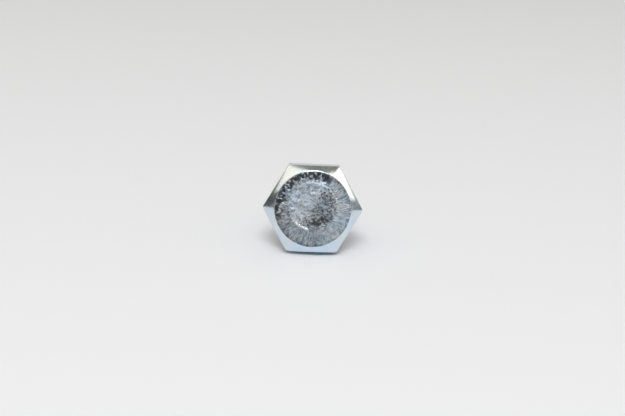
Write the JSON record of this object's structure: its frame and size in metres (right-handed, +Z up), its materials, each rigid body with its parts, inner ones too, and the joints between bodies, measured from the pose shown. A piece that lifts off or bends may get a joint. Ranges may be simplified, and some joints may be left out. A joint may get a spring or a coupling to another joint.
{
  "type": "hex cap screw",
  "caption": "Short zinc-plated steel screw with a six-sided head, washer face and right-hand thread, lying on its side, for clamping parts with a spanner or socket.",
  "frame": {"origin": "centre of the screw's bounding box in X and Y, on the table that it lies on", "axes": "+Z up from the table, the screw's axis in the YZ plane with its head towards -Y and its tip towards +Y, sloping down to the tip; +X across the head's corners"},
  "size_m": [0.0126, 0.0176, 0.0113],
  "materials": {
    "zinc_plated_steel": "bright blue-white zinc plating over cold-headed steel: smooth on the cone, flats and thread, coarse and pitted on the round face"
  },
  "bodies": {
    "root": {"cap_screw": "zinc_plated_steel"}
  },
  "joints": []
}
